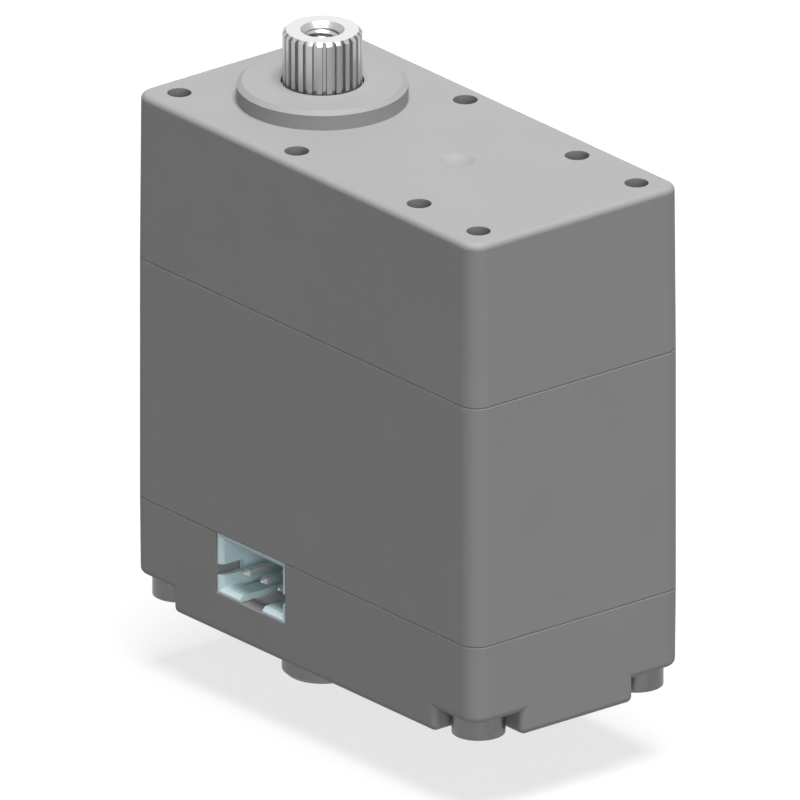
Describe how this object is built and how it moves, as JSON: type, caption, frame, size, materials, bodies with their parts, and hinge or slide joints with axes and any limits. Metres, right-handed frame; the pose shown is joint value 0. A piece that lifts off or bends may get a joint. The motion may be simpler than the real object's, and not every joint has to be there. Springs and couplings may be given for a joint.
{
  "type": "robot servo",
  "caption": "Box-shaped servo in three case sections, with a splined output shaft on top, an idler post below it and a pin header socket.",
  "frame": {"origin": "on the output axis, level with the underside of the case, where the idler post leaves it", "axes": "+Z out of the output shaft, +X from the output axis to the far end of the case, -Y out of the connector"},
  "size_m": [0.04, 0.02, 0.051],
  "materials": {
    "case_plastic": "fine moulded grain",
    "black_steel": "machined",
    "bright_steel": "turned",
    "washer_plastic": "smooth",
    "gear_steel": "hobbed",
    "gear_brass": "hobbed",
    "bronze": "sintered",
    "board": "solder mask",
    "chip_plastic": "moulded",
    "capacitor_can": "satin",
    "header_plastic": "smooth",
    "pin_metal": "tinned",
    "ribbon_film": "film",
    "can_steel": "zinc plated",
    "end_cap_plastic": "moulded",
    "magnet": "sintered",
    "copper": "enamelled wire",
    "cage_metal": "pressed"
  },
  "bodies": {
    "case": {"bottom_cover": "case_plastic", "idler_post": "bright_steel", "control_board": "board", "controller_chip": "chip_plastic", "driver_chips": "chip_plastic", "chip_resistors": "chip_plastic", "capacitor": "capacitor_can", "header_shell": "header_plastic", "header_pins": "pin_metal", "middle_case": "case_plastic", "output_bush": "bronze", "sensor_board": "board", "sensor_chip": "chip_plastic", "sensor_screws": "black_steel", "sensor_ribbon": "ribbon_film", "motor_can": "can_steel", "motor_magnets": "magnet", "motor_end_cap": "end_cap_plastic", "motor_bushes": "bronze", "motor_brushes": "bronze", "motor_terminals": "pin_metal", "motor_screws": "black_steel", "gear_pin": "bright_steel", "pin_washers": "washer_plastic", "bearing_outer_ring": "bright_steel", "top_case": "case_plastic", "case_screws": "black_steel"},
    "output": {"output_shaft": "bright_steel", "output_wheel": "gear_steel", "bearing_inner_ring": "bright_steel", "sensor_magnet": "magnet"},
    "bearing_cage": {"bearing_balls": "bright_steel", "bearing_cage": "cage_metal"},
    "third_gear": {"third_wheel": "gear_steel", "third_pinion": "bright_steel"},
    "second_gear": {"second_wheel": "gear_brass", "second_pinion": "bright_steel"},
    "first_gear": {"first_wheel": "gear_brass", "first_pinion": "bright_steel"},
    "rotor": {"motor_shaft": "bright_steel", "rotor_core": "can_steel", "rotor_coils": "copper", "commutator": "copper", "motor_pinion": "gear_brass"}
  },
  "joints": [
    {"name": "output_turn", "type": "hinge", "parent": "case", "child": "output", "pos_m": [0, 0, 0.035], "axis": [0, 0, 1], "continuous": true},
    {"name": "bearing_cage_turn", "type": "hinge", "parent": "case", "child": "bearing_cage", "pos_m": [0, 0, 0.035], "axis": [0, 0, 1], "continuous": true},
    {"name": "third_gear_turn", "type": "hinge", "parent": "case", "child": "third_gear", "pos_m": [0.01, 0, 0.035], "axis": [0, 0, 1], "continuous": true},
    {"name": "second_gear_turn", "type": "hinge", "parent": "case", "child": "second_gear", "pos_m": [0, 0, 0.035], "axis": [0, 0, 1], "continuous": true},
    {"name": "first_gear_turn", "type": "hinge", "parent": "case", "child": "first_gear", "pos_m": [0.01, 0, 0.035], "axis": [0, 0, 1], "continuous": true},
    {"name": "rotor_turn", "type": "hinge", "parent": "case", "child": "rotor", "pos_m": [0.019, 0, 0.035], "axis": [0, 0, 1], "continuous": true}
  ],
  "couplings": [
    {"joint": "bearing_cage_turn", "follows": "output_turn", "ratio": 0.425},
    {"joint": "third_gear_turn", "follows": "output_turn", "ratio": -3},
    {"joint": "second_gear_turn", "follows": "output_turn", "ratio": 8.5385},
    {"joint": "first_gear_turn", "follows": "output_turn", "ratio": -34.154},
    {"joint": "rotor_turn", "follows": "output_turn", "ratio": 170.77}
  ]
}
